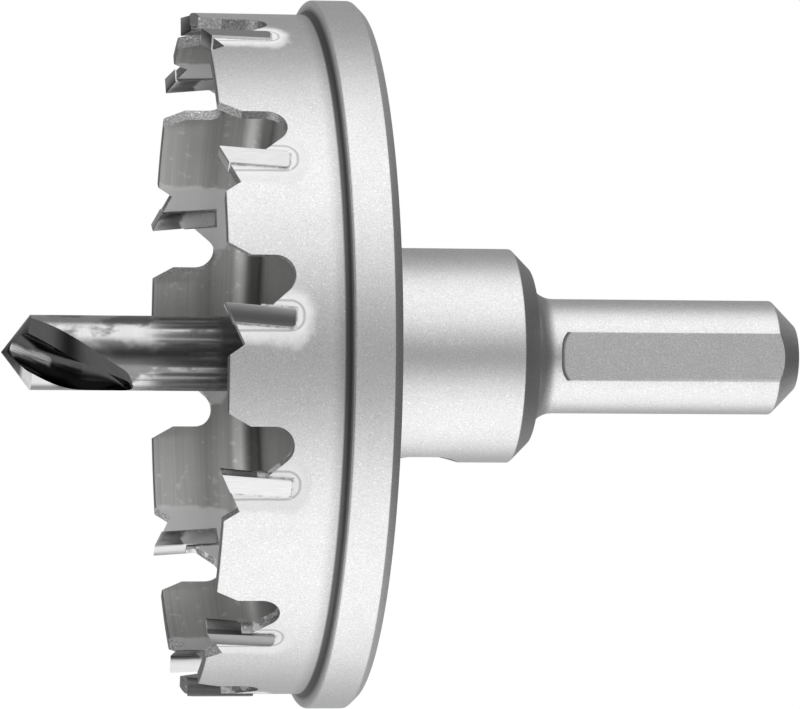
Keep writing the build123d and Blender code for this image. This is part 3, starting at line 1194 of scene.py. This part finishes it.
# ------------------------------------------------------------------ saw body
@dataclass
class SawBody:
    """Shank, hub, flange and toothed cup, turned in one piece."""

    ring: ToothRing
    effects: Effects
    steps: int = 360
    shank_radius: float = 6.325
    shank_chamfer: float = 2.7
    hub_x: float = -30.25
    hub_radius: float = 11.8
    hub_chamfer: float = 2.05
    flange_back_x: float = -49.9
    flange_front_x: float = -55.05
    flange_radius: float = 38.786
    flange_chamfer: Pair = (0.95, 0.936)
    floor_x: float = -55.75
    meet_x: float = -61.0
    bore_radius: float = 4.15
    bore_chamfer: float = 0.4
    bore_end_x: float = -34.45
    cup_inner: float = 35.9
    edge: float = 0.12
    rim_depth: float = 1.8
    cutter_reach: Pair = (33.85, 38.8)
    hole_radius: float = 3.05
    hole_edge: float = 0.15
    spot_radius: float = 4.3
    spot_height: float = 11.15
    spot_top: float = 14.0
    hole_steps: int = 96
    map_lean: float = 3.5
    sharp: float = 28.0

    def profile(self) -> tuple[list[Pair], list[int]]:
        """Turned profile from the shank end round to the bottom of the bore.

        Returns:
            The points, and the slot of each stretch between them.
        """
        shank, hub, flange, cup = self.shank_radius, self.hub_radius, self.flange_radius, self.ring.cup_radius
        rim_x, inner, bore = self.ring.land_x, self.cup_inner, self.bore_radius
        slope_x, slope_r = self.flange_chamfer
        outside = [
            (0.0, 0.0, 0), (0.0, shank - self.shank_chamfer, 0.2), (-self.shank_chamfer, shank, 0.3),
            (self.hub_x, shank, 3.0), (self.hub_x, hub - self.hub_chamfer, 0.2),
            (self.hub_x - self.hub_chamfer, hub, 0.25), (self.flange_back_x, hub, 1.0),
            (self.flange_back_x, flange - slope_r, 0.2), (self.flange_back_x - slope_x, flange, 0.25),
            (self.flange_front_x, flange, 0.35), (self.flange_front_x, cup, 0.9),
            (rim_x, cup, self.edge), (rim_x, inner, self.edge), (self.meet_x, inner, 0),
        ]
        inside = [
            (self.meet_x, inner, 0), (self.floor_x, inner, 3.0),
            (self.floor_x, bore + self.bore_chamfer, 0.1), (self.floor_x + self.bore_chamfer, bore, 0.1),
            (self.bore_end_x, bore, 0), (self.bore_end_x, 0.0, 0),
        ]
        first, second = rounded(outside), rounded(inside)
        slots = [BodyFace.BLASTED.value] * (len(first) - 1) + [BodyFace.TURNED.value] * (len(second) - 1)
        line = first + second[1:]
        wall = inner + 0.1
        for i in range(len(first) - 1):
            if line[i][0] < rim_x + self.rim_depth and line[i][1] < wall and line[i + 1][1] < wall:
                slots[i] = BodyFace.TURNED.value
        return line, slots

    def ring_cutter(self, finish: Material) -> Thing:
        """Sets one gullet cutter at each tooth with a node tree.

        Args:
            finish: The finish that the cut faces get.

        Returns:
            The joined cutter.
        """
        flat = prism(self.ring.outline(), lambda x, y, h: (x * MM, -h * MM, y * MM), *self.cutter_reach)
        one = mesh_object("gullet_cutter_shape", *flat)
        points = mesh_object("tooth_places", [(0.0, 0.0, 0.0)] * len(self.ring.angles), [])
        turn = points.data.attributes.new("turn", "FLOAT", "POINT")
        turn.data.foreach_set("value", [-math.radians(a) for a in self.ring.angles])
        tree = bpy.data.node_groups.new("ring_of_teeth", "GeometryNodeTree")
        face = tree.interface
        face.new_socket("Geometry", in_out="INPUT", socket_type="NodeSocketGeometry")
        shape_in = face.new_socket("Cutter", in_out="INPUT", socket_type="NodeSocketObject")
        finish_in = face.new_socket("Finish", in_out="INPUT", socket_type="NodeSocketMaterial")
        face.new_socket("Geometry", in_out="OUTPUT", socket_type="NodeSocketGeometry")
        pen = NodePen(tree)
        get, end = pen.add("NodeGroupInput").outputs, pen.add("NodeGroupOutput")
        shape = pen.fill(pen.add("GeometryNodeObjectInfo"), Object=get["Cutter"])
        read = pen.fill(pen.add("GeometryNodeInputNamedAttribute", data_type="FLOAT"), Name="turn")
        spin = pen.fill(pen.add("ShaderNodeCombineXYZ"), X=read.outputs[0])
        places = pen.fill(pen.add("GeometryNodeMeshToPoints"), Mesh=get["Geometry"])
        copies = pen.fill(pen.add("GeometryNodeInstanceOnPoints"), Points=places.outputs[0],
                          Instance=shape.outputs["Geometry"], Rotation=spin.outputs[0])
        real = pen.fill(pen.add("GeometryNodeRealizeInstances"), Geometry=copies.outputs[0])
        paint = pen.fill(pen.add("GeometryNodeSetMaterial"), Geometry=real.outputs[0], Material=get["Finish"])
        pen.feed(end.inputs[0], paint.outputs[0])
        modifier = points.modifiers.new("ring", "NODES")
        modifier.node_group = tree
        modifier[shape_in.identifier] = one
        modifier[finish_in.identifier] = finish
        made = evaluated(points)
        for spare in (one, points):
            bpy.data.objects.remove(spare)
        return link("gullet_cutters", made)

    def screw_cutter(self) -> Thing:
        """Cutter of the spot face and the cross hole of the set screw.

        Returns:
            The cutter, turned about the hole's axis.
        """
        n, hole, spot = self.hole_steps, self.hole_radius, self.spot_radius
        rows = [(hole, 0.0), (hole, self.spot_height - self.hole_edge),
                (hole + self.hole_edge, self.spot_height), (spot, self.spot_height), (spot, self.spot_top)]
        turns = [2 * math.pi * k / n for k in range(n)]
        verts = [(SCREW_X * MM, 0.0, 0.0), (SCREW_X * MM, 0.0, -self.spot_top * MM)]
        for r, h in rows:
            verts += [((SCREW_X + r * math.cos(t)) * MM, r * math.sin(t) * MM, -h * MM) for t in turns]
        starts = [2 + i * n for i in range(len(rows))]
        faces = []
        for k in range(n):
            j = (k + 1) % n
            faces += [(0, starts[0] + j, starts[0] + k), (1, starts[-1] + k, starts[-1] + j)]
            faces += [(a + k, a + j, b + j, b + k) for a, b in zip(starts, starts[1:])]
        return mesh_object("screw_cutter", verts, faces)

    def tooth_map(self, mesh: Mesh) -> None:
        """Writes each face corner's place in the nearest tooth's own plane.

        A tooth's part of the body is centred map_lean degrees behind its rake face.

        Args:
            mesh: The body's mesh.
        """
        angles = np.array(self.ring.angles)
        centres = np.array([face.center[:] for face in mesh.polygons])
        away = (about_axis(centres)[:, None] - angles + self.map_lean + 180) % 360 - 180
        nearest = angles[np.abs(away).argmin(1)]
        tooth = np.repeat(nearest, [face.loop_total for face in mesh.polygons])
        write_map(mesh, "tooth", self.ring.chart(corners(mesh), tooth))

    def build(self) -> Thing:
        """Cuts the turned blank and dresses it.

        Returns:
            The finished body.
        """
        finishes = {face: finish.make(self.effects) for face, finish in BODY_FINISHES.items()}
        line, slots = self.profile()
        body = lathe("saw_body_turned", line, slots, self.steps)
        for face in BodyFace:
            body.data.materials.append(finishes[face])
        milled, flats = finishes[BodyFace.MILLED], BODY_FINISHES[BodyFace.FLAT].flats
        carve(body, ((self.ring_cutter(milled), milled), (flats.cutters(), finishes[BodyFace.FLAT]),
                     (self.screw_cutter(), finishes[BodyFace.BLASTED])))
        body.name = body.data.name = "saw_body_fine"
        smooth(body, self.sharp)
        self.tooth_map(body.data)
        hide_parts("saw_body")
        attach(body, "root")
        return body


# ------------------------------------------------------------------ pilot drill
@dataclass
class PilotDrill:
    """Twist drill with two flutes that run out into a plain ground shank."""

    effects: Effects
    steps: int = 180
    radius: float = 4.1
    tip_x: float = -88.2
    end_x: float = -34.55
    back_chamfer: float = 0.5
    point_angle: float = 105.0
    pitch: float = 39.2
    phase: float = math.radians(94.0)
    # section of a flute
    heel_drop: float = 0.5
    heel_angle: float = 34.0
    core: float = 1.15
    core_angle: float = 72.0
    edge_angle: float = 99.0
    lead_in: float = 0.45
    lead_out: float = 1.16
    clear_radius: float = 7.0
    # how a flute runs and ends
    before: float = 0.6
    station: float = 0.16
    flute_length: float = 14.3
    runout: float = 5.6
    runout_power: float = 2.2
    runout_lift: float = 0.03
    round_end: float = 1.3
    last_part: float = 0.4
    widest: float = math.radians(101.0)
    narrowest: float = 0.02
    low_side: float = math.radians(87.0)
    low_blend: float = 9.0
    close_toward: float = 0.48
    # painted highlight streak
    streak_angle: float = 44.0
    streak_turn: float = 9.0
    wrap: float = 40.0
    # flat under the set screw
    flat_half: float = 4.5
    flat_depth: float = 0.6
    flat_clear: float = 2.0
    flat_reach: float = 5.0
    sharp: float = 24.0

    def section(self) -> np.ndarray:
        """Section of one flute, with its heel at angle 0.

        Returns:
            The outline, as complex numbers.
        """
        heel = complex(self.radius, 0)
        spots = [r * np.exp(1j * math.radians(a)) for r, a in (
            (self.radius - self.heel_drop, self.heel_angle), (self.core, self.core_angle),
            (self.radius, self.edge_angle))]
        p = np.array([(q.real, q.imag) for q in spots])
        centre = complex(*np.linalg.solve(2 * (p[1:] - p[0]), (p[1:] ** 2).sum(1) - (p[0] ** 2).sum()))
        low, mid, high = (np.angle(q - centre) for q in spots)
        sweep = (high - low) % (2 * math.pi)
        if (mid - low) % (2 * math.pi) > sweep:
            sweep -= 2 * math.pi
        bow = abs(spots[0] - centre)
        arc = [centre + bow * np.exp(1j * (low + sweep * t)) for t in np.linspace(0, self.lead_out, 60)]
        start = heel + (heel - spots[0]) * self.lead_in
        turns = np.linspace(np.angle(arc[-1]), np.angle(start), 12)
        outer = [self.clear_radius * np.exp(1j * t) for t in turns]
        return np.array([start, *np.linspace(heel, spots[0], 8)[:-1], *arc, *outer])

    def stations(self) -> np.ndarray:
        """Where a flute's sections stand behind the point: closer as it runs out and ends.

        Returns:
            The distances from the point, in millimetres.
        """
        leaves, last = self.flute_length - self.runout, self.flute_length - self.last_part
        return np.concatenate([np.arange(-self.before, leaves, self.station),
                               np.linspace(leaves, last, 46, endpoint=False),
                               self.flute_length - self.last_part * np.linspace(1, 0, 14) ** 2])

    def flute_cutters(self) -> Thing:
        """Sweeps the section along the helix and out of the steel, once for each flute.

        Returns:
            The joined cutter.
        """
        outline, stations = self.section(), self.stations()
        reach, behind = np.abs(outline), np.angle(outline)
        n = len(outline)
        verts, faces = [], []
        for half in (0.0, math.pi):
            first = len(verts)
            for travelled in stations:
                turn = self.phase - 2 * math.pi * travelled / self.pitch
                leave = max(0.0, (travelled - self.flute_length + self.runout) / self.runout)
                deep = 1.0 - leave ** self.runout_power
                closing = min(1.0, max(0.0, (travelled - self.flute_length) / self.round_end + 1.0))
                limits = (math.exp(-self.low_blend * w) for w in (self.widest, turn + self.low_side))
                wide = -math.log(sum(limits)) / self.low_blend
                narrow = max(self.narrowest, wide / self.widest * math.sqrt(max(0.0, 1.0 - closing ** 2)))
                middle = wide * self.close_toward * (1.0 - narrow * self.widest / wide)
                inner = self.radius - (self.radius - reach) * deep + self.runout_lift * (1.0 - deep)
                radii = np.where(reach < self.radius, inner, reach)
                placed = np.exp(1j * (turn + half)) * radii * np.exp(-1j * (behind * narrow + middle))
                x = (self.tip_x + travelled) * MM
                verts += [(x, -q.real * MM, q.imag * MM) for q in placed]
            for i in range(len(stations) - 1):
                a, b = first + i * n, first + (i + 1) * n
                faces += [(a + k, a + (k + 1) % n, b + (k + 1) % n, b + k) for k in range(n)]
            last = first + (len(stations) - 1) * n
            faces += [tuple(range(first, first + n)), tuple(range(last + n - 1, last - 1, -1))]
        return mesh_object("flute_cutters", verts, faces)

    def flat_cutter(self) -> Thing:
        """Cutter of the flat that the set screw bears on.

        Returns:
            The cutter.
        """
        low = self.radius - self.flat_depth
        left, right = SCREW_X - self.flat_half, SCREW_X + self.flat_half
        square = [(left, low), (right, low), (right, low + self.flat_clear), (left, low + self.flat_clear)]
        shape = prism(square, lambda x, y, h: (x * MM, h * MM, -y * MM), -self.flat_reach, self.flat_reach)
        return mesh_object("drill_flat", *shape)

    def winding(self, mesh: Mesh) -> None:
        """Stores how far along the drill and across its painted highlight streak each face corner is.

        Args:
            mesh: The drill's mesh.
        """
        co = corners(mesh)
        travelled = co[:, 0] - self.tip_x
        behind = math.degrees(self.phase) - 360.0 * travelled / self.pitch - about_axis(co)
        behind = (behind + self.wrap) % 180 - self.wrap
        turn = np.radians(behind - self.streak_angle - self.streak_turn * travelled)
        away = turn * np.hypot(co[:, 1], co[:, 2])
        write_map(mesh, "flute", np.stack([travelled, away], 1) / MAP_UNIT)

    def build(self) -> Thing:
        """Turns the blank, cuts flutes and flat, and dresses it.

        Returns:
            The finished drill.
        """
        point = self.radius / math.tan(math.radians(self.point_angle / 2))
        end, chamfer = self.end_x, self.back_chamfer
        line = [(self.tip_x, 0.0), (self.tip_x + point, self.radius), (end - chamfer, self.radius),
                (end, self.radius - chamfer), (end, 0.0)]
        slots = [DrillFace.POINT.value] + [DrillFace.GROUND.value] * 3
        drill = lathe("pilot_drill_turned", line, slots, self.steps)
        finishes = {face: finish.make(self.effects) for face, finish in DRILL_FINISHES.items()}
        for face in DrillFace:
            drill.data.materials.append(finishes[face])
        carve(drill, ((self.flute_cutters(), finishes[DrillFace.FLUTE]),
                      (self.flat_cutter(), finishes[DrillFace.GROUND])))
        drill.name = drill.data.name = "pilot_drill_fine"
        self.winding(drill.data)
        smooth(drill, self.sharp)
        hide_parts("pilot_drill")
        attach(drill, "root")
        return drill


# ------------------------------------------------------------------ pieces at the teeth
@dataclass
class BrazedTips:
    """The carbide tips with broken edges, their braze seams and the set screw."""

    effects: Effects
    ring: ToothRing
    nodes: dict[str, Thing]
    edge: float = 0.03
    edge_round: float = 0.6
    flat_within: float = 0.6
    broken_above: float = 25.0
    sharp: float = 30.0
    turned_tooth: int = 7
    turned: float = -1.9
    # Painted light level of each tip's outside, tooth by tooth.
    painted_light_levels: tuple[float, ...] = (0.68, 1.1, 0.5, 0.8, 1.0, 1.0, 1.0, 1.0, 1.0, 1.0, 1.0, 1.0)

    def break_edges(self, bm: bmesh.types.BMesh) -> None:
        """Rounds a tip's sharp edges.

        Args:
            bm: The tip's mesh.
        """
        flat = math.radians(self.flat_within)
        bmesh.ops.dissolve_limit(bm, angle_limit=flat, verts=bm.verts, edges=bm.edges)
        limit = math.radians(self.broken_above)
        sharp = [e for e in bm.edges if len(e.link_faces) == 2 and e.calc_face_angle(0.0) > limit]
        bmesh.ops.bevel(bm, geom=sharp, offset=self.edge * MM, segments=2, profile=self.edge_round,
                        affect="EDGES", clamp_overlap=True)

    def piece(self, node: Thing, kind: ToothPiece, finish: Material) -> Thing:
        """Makes a tip or a seam from a copy of its node.

        Args:
            node: The node, whose name ends in its tooth's number.
            kind: Which piece it is.
            finish: Its finish.

        Returns:
            The finished piece.
        """
        number = int(node.name[-2:])
        bm = bmesh.new()
        bm.from_mesh(node.data)
        bmesh.ops.remove_doubles(bm, verts=bm.verts, dist=WELD)
        if kind is ToothPiece.TIP:
            self.break_edges(bm)
        if number == self.turned_tooth:
            spin = Matrix.Rotation(math.radians(-self.turned), 3, "X")
            bmesh.ops.rotate(bm, verts=bm.verts, cent=(0.0, 0.0, 0.0), matrix=spin)
        mesh = bpy.data.meshes.new(node.name + "_fine")
        bm.to_mesh(mesh)
        bm.free()
        if kind is ToothPiece.TIP:
            write_map(mesh, "tooth", self.ring.chart(corners(mesh), self.ring.angles[number - 1]))
            write_map(mesh, "grind", np.full((len(mesh.loops), 2), self.painted_light_levels[number - 1]))
        piece = link(node.name + "_fine", mesh)
        mesh.materials.append(finish)
        smooth(piece, self.sharp)
        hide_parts(node.name)
        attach(piece, "root")
        return piece

    def build(self) -> int:
        """Makes the tips and gives the seams and the screw their finish.

        Returns:
            How many pieces were dressed.
        """
        carbide, braze, oxide = (finish.make(self.effects) for finish in (CARBIDE, BRAZE, SCREW_OXIDE))
        turned_seam = f"braze_seam_{self.turned_tooth:02d}"
        count = 0
        for name, node in self.nodes.items():
            if name.startswith("carbide_tip_"):
                self.piece(node, ToothPiece.TIP, carbide)
            elif name == turned_seam:
                self.piece(node, ToothPiece.SEAM, braze)
            elif name.startswith(("braze_seam_", "set_screw")):
                for slot in node.material_slots:
                    slot.material = oxide if name == "set_screw" else braze
            else:
                continue
            count += 1
        return count


# ------------------------------------------------------------------ studio
@dataclass
class Studio:
    """Camera, world, floor and lamp. Its lengths are in metres."""

    turn: float = math.radians(9.05066)
    roll: float = 0.0073151
    distance: float = 0.54245
    look_x: float = -0.0480006
    slide: float = 0.003710
    rise: float = 0.000064
    lens: float = 221.84
    smudge_and_shade: float = 36.0
    clip: Pair = (0.01, 20.0)
    # world: levels, and the angles from straight in front at which they change
    bright: float = 1.26
    dark: float = 0.16
    behind: float = 0.28
    behind_under: float = 0.42
    ends: float = 0.08
    matt_more: float = 0.55
    rise_at: Pair = (math.radians(2.0), math.radians(42.0))
    fall_at: Pair = (math.radians(86.0), math.radians(112.0))
    late: float = math.radians(20.0)
    under_at: Pair = (0.0, -0.3)
    ends_at: Pair = (0.98, 0.58)
    backdrop: Pair = (math.radians(168.0), math.radians(174.0))
    backdrop_half: Pair = (0.2, 0.1)
    # floor and lamp
    floor_z: float = -0.150
    floor_radius: float = 3.0
    floor_steps: int = 96
    floor_white: float = 0.9
    floor_glow: float = 0.9
    lamp_size: Pair = (0.8, 0.6)
    lamp_power: float = 6.0
    lamp_place: Triple = (-0.04, -0.15, 0.9)

    def camera(self) -> Thing:
        """Places the camera.

        Returns:
            The camera.
        """
        toward = Vector((-math.sin(self.turn), -math.cos(self.turn), 0.0))
        right = Vector((math.cos(self.turn), -math.sin(self.turn), 0.0))
        up = Vector((0.0, 0.0, 1.0))
        spot = Vector((self.look_x, 0.0, 0.0)) + right * self.slide + up * self.rise + toward * self.distance
        c, s = math.cos(self.roll), math.sin(self.roll)
        axes = (right * c + up * s, up * c - right * s, toward)
        data = bpy.data.cameras.new("camera")
        data.lens, data.sensor_width, data.sensor_fit = self.lens, self.smudge_and_shade, "HORIZONTAL"
        data.clip_start, data.clip_end = self.clip
        camera = link("camera", data)
        camera.matrix_world = Matrix.Translation(spot) @ Matrix(axes).transposed().to_4x4()
        bpy.context.scene.camera = camera
        return camera

    def light_level(self, pen: NodePen, x: Socket, z: Socket, turn: Socket) -> Socket:
        """Level of the light that metal mirrors from one direction.

        It is dark straight in front, bright above and below, and dim behind and along
        the tool's axis. Below, it turns dim later and less.

        Args:
            pen: The world's pen.
            x: The direction's part along the axis.
            z: The direction's part upwards.
            turn: The direction's angle about the axis from straight in front.

        Returns:
            The level.
        """
        under = pen.step(z, *self.under_at)
        rise = pen.step(turn, *self.rise_at)
        fall = pen.step(pen.line(under, -self.late, turn), *self.fall_at)
        level = pen.line(rise, self.bright - self.dark, self.dark)
        drop = pen.line(under, self.behind_under - self.behind, self.behind - self.bright)
        level = pen.line(pen.product(rise, fall), drop, level)
        along = pen.step(pen.math("ABSOLUTE", x), *self.ends_at)
        return pen.product(level, pen.line(along, 1.0 - self.ends, self.ends))

    def world(self) -> None:
        """Lights the tool, and shows white to the camera and in a panel straight behind."""
        world = bpy.data.worlds.new("studio")
        bpy.context.scene.world = world
        world.use_nodes = True
        pen = NodePen(world.node_tree)
        x, y, z = pen.split(pen.add("ShaderNodeTexCoord").outputs["Generated"])
        turn = pen.math("ABSOLUTE", pen.math("ARCTAN2", z, pen.product(y, -1.0)))
        path = pen.add("ShaderNodeLightPath").outputs
        lit = pen.line(path["Is Diffuse Ray"], self.matt_more, self.light_level(pen, x, z, turn))
        mirrored = pen.most(path["Is Glossy Ray"], path["Is Transmission Ray"])
        middle = pen.step(pen.math("ABSOLUTE", x), *self.backdrop_half)
        panel = pen.product(pen.step(turn, *self.backdrop), middle)
        shown = pen.most(path["Is Camera Ray"], pen.product(mirrored, panel))
        seen = pen.add("ShaderNodeMix", data_type="FLOAT")
        for socket, value in ((0, shown), (2, lit), (3, 1.0)):
            pen.feed(seen.inputs[socket], value)
        sky = pen.fill(pen.add("ShaderNodeBackground"), Color=(1.0, 1.0, 1.0, 1.0), Strength=seen.outputs[0])
        pen.fill(pen.add("ShaderNodeOutputWorld"), Surface=sky.outputs[0])

    def floor(self) -> Thing:
        """Lays a pale round floor that keeps a faint shadow.

        Returns:
            The floor.
        """
        n, radius = self.floor_steps, self.floor_radius
        turns = [2 * math.pi * k / n for k in range(n)]
        ring = [(radius * math.cos(t), radius * math.sin(t), self.floor_z) for t in turns]
        floor = mesh_object("floor", ring, [tuple(range(len(ring)))])
        material = bpy.data.materials.new("floor_white")
        material.use_nodes = True
        pen = NodePen(material.node_tree)
        white = (self.floor_white, self.floor_white, self.floor_white, 1.0)
        matt = pen.fill(pen.add("ShaderNodeBsdfDiffuse"), Color=white)
        glow = pen.fill(pen.add("ShaderNodeEmission"), Strength=1.0)
        path = pen.add("ShaderNodeLightPath").outputs
        seen = pen.most(path["Is Camera Ray"], path["Is Glossy Ray"], path["Is Transmission Ray"])
        blend = pen.add("ShaderNodeMixShader")
        shares = (pen.product(seen, self.floor_glow), matt.outputs[0], glow.outputs[0])
        for socket, value in zip(blend.inputs, shares):
            pen.feed(socket, value)
        pen.fill(pen.add("ShaderNodeOutputMaterial"), Surface=blend.outputs[0])
        floor.data.materials.append(material)
        floor.visible_glossy = False
        return floor

    def lamp(self) -> Thing:
        """Hangs a soft lamp over the floor for the shadow.

        Returns:
            The lamp.
        """
        data = bpy.data.lights.new("soft_top", "AREA")
        data.shape, data.energy = "RECTANGLE", self.lamp_power
        data.size, data.size_y = self.lamp_size
        lamp = link("soft_top", data)
        lamp.location = self.lamp_place
        lamp.visible_glossy = False
        return lamp


def main() -> None:
    """Builds the scene."""
    logging.basicConfig(level=logging.INFO, format="%(name)s: %(message)s")
    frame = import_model()
    bpy.context.scene.view_settings.view_transform = "Standard"
    studio = Studio()
    for thing in (studio.camera(), studio.floor(), studio.lamp()):
        LOG.info("placed %s", thing.name)
    studio.world()
    effects = Effects()
    ring = ToothRing()
    body = SawBody(ring, effects).build()
    LOG.info("%s has %d faces", body.name, len(body.data.polygons))
    drill = PilotDrill(effects).build()
    LOG.info("%s has %d faces", drill.name, len(drill.data.polygons))
    LOG.info("dressed %d tips, seams and screws", BrazedTips(effects, ring, frame["nodes"]).build())


if __name__ == "__main__":
    main()
